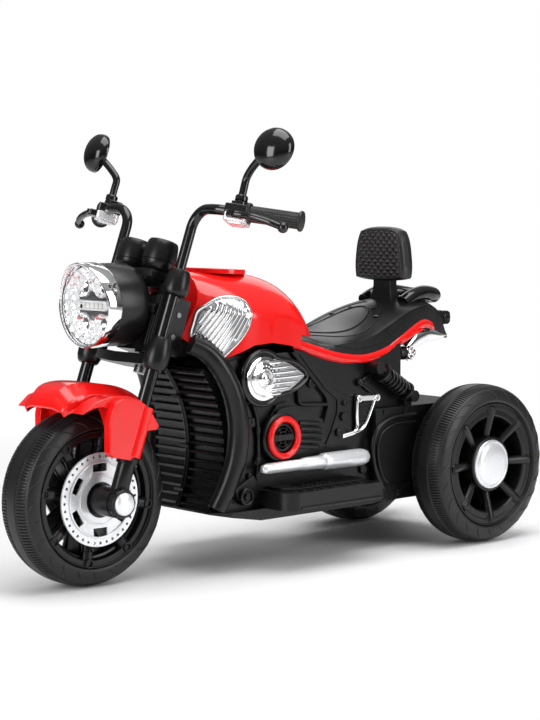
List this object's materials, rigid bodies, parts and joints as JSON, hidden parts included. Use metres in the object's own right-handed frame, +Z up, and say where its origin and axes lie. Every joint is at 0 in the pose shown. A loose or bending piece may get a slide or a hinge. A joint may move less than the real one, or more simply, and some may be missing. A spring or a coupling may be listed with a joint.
{
  "type": "children's electric motorbike",
  "caption": "Ride-on chopper-style toy motorbike with a steered front wheel, twin rear wheels, a saddle with a quilted backrest, and a battery drive to one rear wheel.",
  "frame": {"origin": "on the ground, on the centre plane, half way along the bike's length", "axes": "+Z up, the bike faces -Y, the rider's left is +X"},
  "size_m": [0.479, 0.92, 0.6395],
  "materials": {
    "black_plastic": "fine grained, satin",
    "black_gloss": "polished black",
    "red_gloss": "polished red",
    "plated": "mirror-bright plating on plastic",
    "silver": "satin silver paint on plastic",
    "tyre": "hard moulded tyre",
    "soft_grip": "ribbed soft grip",
    "padding": "quilted soft vinyl",
    "clear": "clear",
    "red_lens": "red translucent",
    "steel": "plain steel",
    "gear_nylon": "white nylon",
    "battery_case": "moulded case"
  },
  "bodies": {
    "chassis": {"lower_tray": "black_plastic", "body_shell_left": "black_plastic", "body_shell_right": "black_plastic", "radiator_panel": "black_plastic", "radiator_frames": "black_plastic", "steering_head": "black_plastic", "tank_shell": "red_gloss", "tank_cap": "red_gloss", "tank_grilles": "plated", "seat_base": "black_plastic", "seat_saddle": "black_plastic", "seat_stripes": "red_gloss", "tail_trim": "plated", "tail_lamps": "black_plastic", "tail_lenses": "red_lens", "grab_rail": "black_gloss", "backrest_post": "black_plastic", "backrest_pad": "padding", "air_cleaners": "plated", "engine_rings": "red_gloss", "exhausts": "silver", "footboards": "black_plastic", "peg_brackets": "plated", "shock_absorbers": "black_plastic", "axle_housing": "black_plastic", "rear_axle": "steel", "drive_motor": "steel", "battery": "battery_case", "speaker": "black_plastic", "body_screws": "steel"},
    "steering": {"steering_stem": "steel", "fork_clamps": "black_plastic", "fork_tubes": "black_gloss", "fork_sliders": "black_plastic", "front_mudguard": "red_gloss", "headlamp_shell": "black_gloss", "headlamp_bezel": "plated", "headlamp_reflector": "plated", "headlamp_lens": "clear", "gauge_pods": "black_plastic", "handlebars": "black_gloss", "grips": "soft_grip", "control_pods": "black_plastic", "front_axle": "steel"},
    "front_wheel": {"front_tyre": "tyre", "front_rim": "black_plastic", "brake_discs": "silver"},
    "rear_wheel_left": {"rear_tyre_left": "tyre", "rear_rim_left": "black_plastic"},
    "rear_wheel_right": {"rear_tyre_right": "tyre", "rear_rim_right": "black_plastic", "drive_gear": "gear_nylon"},
    "motor_pinion": {"motor_pinion": "gear_nylon"},
    "lever_left": {"lever_left": "black_gloss"},
    "lever_right": {"lever_right": "black_gloss"},
    "mirror_left": {"mirror_left": "black_gloss"},
    "mirror_right": {"mirror_right": "black_gloss"},
    "horn_button": {"horn_button": "black_plastic"},
    "power_switch": {"power_switch": "black_plastic"},
    "accelerator_pedal": {"accelerator_pedal": "black_plastic"}
  },
  "joints": [
    {"name": "steering_turn", "type": "hinge", "parent": "chassis", "child": "steering", "pos_m": [0, -0.20866, 0.36102], "axis": [0, 0.342, 0.9397], "range_deg": [-25, 25]},
    {"name": "front_wheel_spin", "type": "hinge", "parent": "steering", "child": "front_wheel", "pos_m": [0, -0.335, 0.125], "axis": [1, 0, 0], "continuous": true},
    {"name": "rear_left_spin", "type": "hinge", "parent": "chassis", "child": "rear_wheel_left", "pos_m": [0.1375, 0.335, 0.125], "axis": [1, 0, 0], "continuous": true},
    {"name": "rear_right_spin", "type": "hinge", "parent": "chassis", "child": "rear_wheel_right", "pos_m": [-0.1375, 0.335, 0.125], "axis": [1, 0, 0], "continuous": true},
    {"name": "motor_spin", "type": "hinge", "parent": "chassis", "child": "motor_pinion", "pos_m": [-0.0785, 0.29, 0.125], "axis": [1, 0, 0], "continuous": true},
    {"name": "lever_left_pull", "type": "hinge", "parent": "steering", "child": "lever_left", "pos_m": [0.16105, -0.19725, 0.52146], "axis": [-0.0401, 0.3191, 0.9469], "range_deg": [0, 12], "stiffness_Nm_per_rad": 0.25},
    {"name": "lever_right_pull", "type": "hinge", "parent": "steering", "child": "lever_right", "pos_m": [-0.16105, -0.19725, 0.52146], "axis": [-0.0401, -0.3191, -0.9469], "range_deg": [0, 12], "stiffness_Nm_per_rad": 0.25},
    {"name": "mirror_left_swivel", "type": "hinge", "parent": "steering", "child": "mirror_left", "pos_m": [0.14769, -0.16984, 0.53838], "axis": [-0.0401, 0.3191, 0.9469], "range_deg": [-35, 35]},
    {"name": "mirror_right_swivel", "type": "hinge", "parent": "steering", "child": "mirror_right", "pos_m": [-0.14769, -0.16984, 0.53838], "axis": [-0.0401, -0.3191, -0.9469], "range_deg": [-35, 35]},
    {"name": "horn_press", "type": "slide", "parent": "steering", "child": "horn_button", "axis": [0.5145, -0.8058, 0.2933], "range_m": [0, 0.002], "stiffness_N_per_m": 600},
    {"name": "power_rock", "type": "hinge", "parent": "chassis", "child": "power_switch", "pos_m": [0, -0.09091, 0.4361], "axis": [0, 0.9986, -0.0523], "range_deg": [-6, 6]},
    {"name": "pedal_press", "type": "hinge", "parent": "chassis", "child": "accelerator_pedal", "pos_m": [-0.13475, 0.028, 0.1253], "axis": [1, 0, 0], "range_deg": [0, 9], "stiffness_Nm_per_rad": 2}
  ],
  "couplings": [
    {"joint": "motor_spin", "follows": "rear_right_spin", "ratio": -4}
  ]
}
